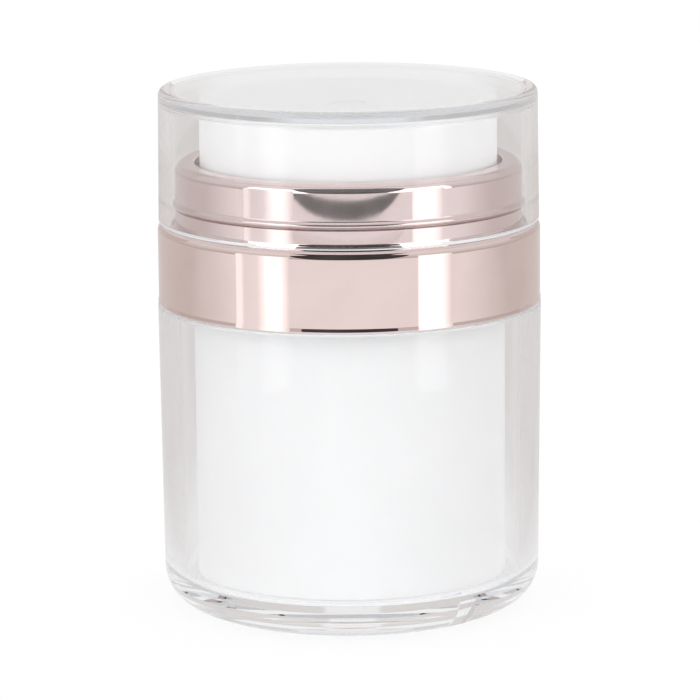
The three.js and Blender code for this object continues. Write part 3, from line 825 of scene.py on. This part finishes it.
def paper_material():
    """White paper on a pale table.

    The camera sees it white. Mirrors and glass see white paper in front of the jar and
    along the camera's view, painted shade on the table beside it, and painted shade up the wall.
    A part of it stays plain, to hold the jar's shadow.
    """
    material = bpy.data.materials.new("paper")
    material.use_nodes = True
    nodes = material.node_tree.nodes
    links = material.node_tree.links
    nodes.clear()

    def number(operation, *values):
        node = nodes.new("ShaderNodeMath")
        node.operation = operation
        for socket, value in zip(node.inputs, values):
            if isinstance(value, (int, float)):
                socket.default_value = value
            else:
                links.new(value, socket)
        return node.outputs["Value"]

    def step(value, low, high):
        node = nodes.new("ShaderNodeMapRange")
        node.inputs["From Min"].default_value = low
        node.inputs["From Max"].default_value = high
        links.new(value, node.inputs["Value"])
        return node.outputs["Result"]

    place = nodes.new("ShaderNodeTexCoord")
    split = nodes.new("ShaderNodeSeparateXYZ")
    links.new(place.outputs["Object"], split.inputs["Vector"])
    aside = number("ABSOLUTE", split.outputs["X"])
    half_width = number("MULTIPLY_ADD", split.outputs["Y"], PAPER_SPREAD, PAPER_HALF_WIDTH)
    beside = step(number("SUBTRACT", aside, half_width), 0, PAPER_EDGE)
    # painted shade: a grey glow, seen only by mirrors and glass, beside the paper and up the wall
    table = number("MULTIPLY", beside, step(split.outputs["Y"], *PAPER_FRONT))
    wall = number("MULTIPLY", step(split.outputs["Z"], *WALL_FOOT), WALL_SHADE)
    grey = number("MAXIMUM", table, wall)
    shade = nodes.new("ShaderNodeValToRGB")
    shade.color_ramp.elements[0].color = (1, 1, 1, 1)
    shade.color_ramp.elements[1].color = PAINTED_SIDE_SHADE
    links.new(grey, shade.inputs["Fac"])

    path = nodes.new("ShaderNodeLightPath")
    diffuse = nodes.new("ShaderNodeBsdfDiffuse")
    white = nodes.new("ShaderNodeEmission")
    glow_with_painted_shade = nodes.new("ShaderNodeEmission")
    diffuse.inputs["Color"].default_value = PAPER_WHITE
    links.new(shade.outputs["Color"], glow_with_painted_shade.inputs["Color"])
    by_eye = nodes.new("ShaderNodeMixShader")
    links.new(path.outputs["Is Camera Ray"], by_eye.inputs["Fac"])
    links.new(glow_with_painted_shade.outputs["Emission"], by_eye.inputs[1])
    links.new(white.outputs["Emission"], by_eye.inputs[2])
    seen = number("MAXIMUM", path.outputs["Is Camera Ray"], path.outputs["Is Glossy Ray"])
    seen = number("MAXIMUM", seen, path.outputs["Is Transmission Ray"])
    choice = nodes.new("ShaderNodeMixShader")
    output = nodes.new("ShaderNodeOutputMaterial")
    links.new(number("MULTIPLY", seen, PAPER_GLOW), choice.inputs["Fac"])
    links.new(diffuse.outputs["BSDF"], choice.inputs[1])
    links.new(by_eye.outputs["Shader"], choice.inputs[2])
    links.new(choice.outputs["Shader"], output.inputs["Surface"])
    return material


def arc_card(name, centre, radius, first, last, low, high):
    """A card that stands along an arc, seen only in gloss and glass.

    first and last are azimuths in degrees, counted from the camera to the right. low and
    high give its lower and upper edge at a place across it, from -1 to 1.
    """
    shape = bmesh.new()
    rows = []
    for step in range(CARD_STEPS + 1):
        angle = math.radians(first + (last - first) * step / CARD_STEPS)
        x = radius * math.sin(angle)
        y = centre - radius * math.cos(angle)
        across = 2 * step / CARD_STEPS - 1
        rows.append([shape.verts.new((x, y, z)) for z in (low(across), high(across))])
    for left, right in zip(rows, rows[1:]):
        shape.faces.new((left[0], right[0], right[1], left[1]))
    return card_object(name, shape)


def card_object(name, shape):
    """Puts a card's mesh on the stage, for gloss and glass only."""
    mesh = bpy.data.meshes.new(name)
    shape.to_mesh(mesh)
    shape.free()
    card = bpy.data.objects.new(name, mesh)
    bpy.context.scene.collection.objects.link(card)
    card.visible_camera = False
    card.visible_diffuse = False
    card.visible_shadow = False
    return card


def flat_card(name, corners, height):
    """A level card over the jar between two corners, seen only in gloss and glass."""
    (left, front), (right, back) = corners
    shape = bmesh.new()
    places = [(left, front), (left, back), (right, back), (right, front)]
    shape.faces.new([shape.verts.new((x, y, height)) for x, y in places])
    return card_object(name, shape)


def card_material(name, levels, strength):
    """Light of a card that changes from left to right; levels are (place, grey level).

    It shows in gloss and glass only, and sheds no light on the jar's white pieces.
    """
    material = bpy.data.materials.new(name)
    material.use_nodes = True
    nodes = material.node_tree.nodes
    links = material.node_tree.links
    nodes.clear()
    place = nodes.new("ShaderNodeTexCoord")
    split = nodes.new("ShaderNodeSeparateXYZ")
    ramp = nodes.new("ShaderNodeValToRGB")
    ends = ramp.color_ramp.elements
    while len(ends) < len(levels):
        ends.new(0.5)
    for end, (position, level) in zip(ends, levels):
        end.position = position
        end.color = (level, level, level, 1)
    glow = nodes.new("ShaderNodeEmission")
    glow.inputs["Strength"].default_value = strength
    output = nodes.new("ShaderNodeOutputMaterial")
    links.new(place.outputs["Generated"], split.inputs["Vector"])
    links.new(split.outputs["X"], ramp.inputs["Fac"])
    links.new(ramp.outputs["Color"], glow.inputs["Color"])
    path = nodes.new("ShaderNodeLightPath")
    clear = nodes.new("ShaderNodeBsdfTransparent")
    unlit = nodes.new("ShaderNodeMixShader")
    links.new(path.outputs["Diffuse Depth"], unlit.inputs["Fac"])
    links.new(glow.outputs["Emission"], unlit.inputs[1])
    links.new(clear.outputs["BSDF"], unlit.inputs[2])
    links.new(unlit.outputs["Shader"], output.inputs["Surface"])
    return material


def make_cards():
    """Bright and dark cards that the mirror sleeve shows as its strips and lines."""
    def table(across):
        return 0

    def tall(across):
        return CARD_TOP

    def strip_low(across):
        return DARK_STRIP * across ** 4

    def strip_high(across):
        return DARK_STRIP * STRIP_EXCESS

    def screen_low(across):
        return DARK_BOTTOM + SCREEN_TAPER * (DARK_TOP - DARK_BOTTOM) * across ** 4

    def screen_high(across):
        return DARK_TOP - SCREEN_TAPER * (DARK_TOP - DARK_BOTTOM) * across ** 4

    right = arc_card("right_card", 0, CARD_RADIUS, *RIGHT_CARD, table, tall)
    right.data.materials.append(card_material("right_card", RIGHT_LEVELS, CARD_LIGHT))
    left = arc_card("left_card", 0, CARD_RADIUS, *LEFT_CARD, table, tall)
    left.data.materials.append(card_material("left_card", LEFT_LEVELS, CARD_LIGHT))
    dark = [
        arc_card("dark_strip", DARK_CENTRE, DARK_RADIUS, *STRIP_CARD, strip_low, strip_high),
        arc_card("dark_screen", DARK_CENTRE, DARK_RADIUS, *SCREEN_CARD, screen_low, screen_high),
    ]
    canopy = flat_card("dark_canopy", CANOPY, DARK_TOP)
    canopy.visible_transmission = False
    dark.append(canopy)
    shade = card_material("dark_card", DARK_LEVELS, 1.0)
    for card in dark:
        card.data.materials.append(shade)


def softbox(name, azimuth, radiance):
    """A lamp that stands at an azimuth round the jar, counted from the camera to the right."""
    height = LAMP_TOP - LAMP_BOTTOM
    data = bpy.data.lights.new(name, "AREA")
    data.shape = "RECTANGLE"
    data.size = LAMP_WIDTH
    data.size_y = height
    data.energy = radiance * math.pi * LAMP_WIDTH * height
    lamp = bpy.data.objects.new(name, data)
    bpy.context.scene.collection.objects.link(lamp)
    angle = math.radians(azimuth)
    outward = Vector((math.sin(angle), -math.cos(angle), 0))
    lamp.location = outward * LAMP_DISTANCE + Vector((0, 0, LAMP_BOTTOM + height / 2))
    lamp.rotation_euler = outward.to_track_quat("Z", "Y").to_euler()
    lamp.visible_camera = False
    lamp.visible_glossy = False
    return lamp


def make_world():
    """Pale room light: warm grey round the table, brighter above."""
    world = bpy.data.worlds.new("room")
    world.use_nodes = True
    bpy.context.scene.world = world
    nodes = world.node_tree.nodes
    links = world.node_tree.links
    place = nodes.new("ShaderNodeTexCoord")
    split = nodes.new("ShaderNodeSeparateXYZ")
    ramp = nodes.new("ShaderNodeValToRGB")
    ramp.color_ramp.elements[0].color = ROOM_GREY
    ramp.color_ramp.elements[1].position = ROOM_WHITE_FROM
    ramp.color_ramp.elements[1].color = ROOM_WHITE
    links.new(place.outputs["Generated"], split.inputs["Vector"])
    links.new(split.outputs["Z"], ramp.inputs["Fac"])
    links.new(ramp.outputs["Color"], nodes["Background"].inputs["Color"])


def make_lights():
    """Soft lamps in front of and behind the jar; the acrylic doesn't show those behind."""
    for name, azimuth, radiance in FRONT_LAMPS:
        softbox(name, azimuth, radiance)
    for name, azimuth, radiance in BACK_LAMPS:
        lamp = softbox(name, azimuth, radiance)
        lamp.visible_transmission = False


def main():
    """Builds the pieces with their finishes, and the studio round them."""
    aim_camera()
    materials = {
        "clear_acrylic": clear_acrylic(),
        "rose_gold_plate": rose_gold(),
        "white_plastic": white_plastic(),
        "natural_polyethylene": natural_polyethylene(),
        "seal_elastomer": seal_elastomer(),
        "stainless_steel": stainless_steel(),
    }
    make_clear_cap(materials)
    make_clear_jar(materials)
    make_sleeve(materials)
    make_press_plate(materials)
    make_bottle(materials)
    make_screw_collar(materials)
    make_spring(materials)
    dress_valve_rod(materials)
    for node in FINE_COPIES:
        fine_copy(node, materials)
    make_floor()
    make_cards()
    make_world()
    make_lights()
    bpy.context.scene.view_settings.view_transform = "Standard"


main()
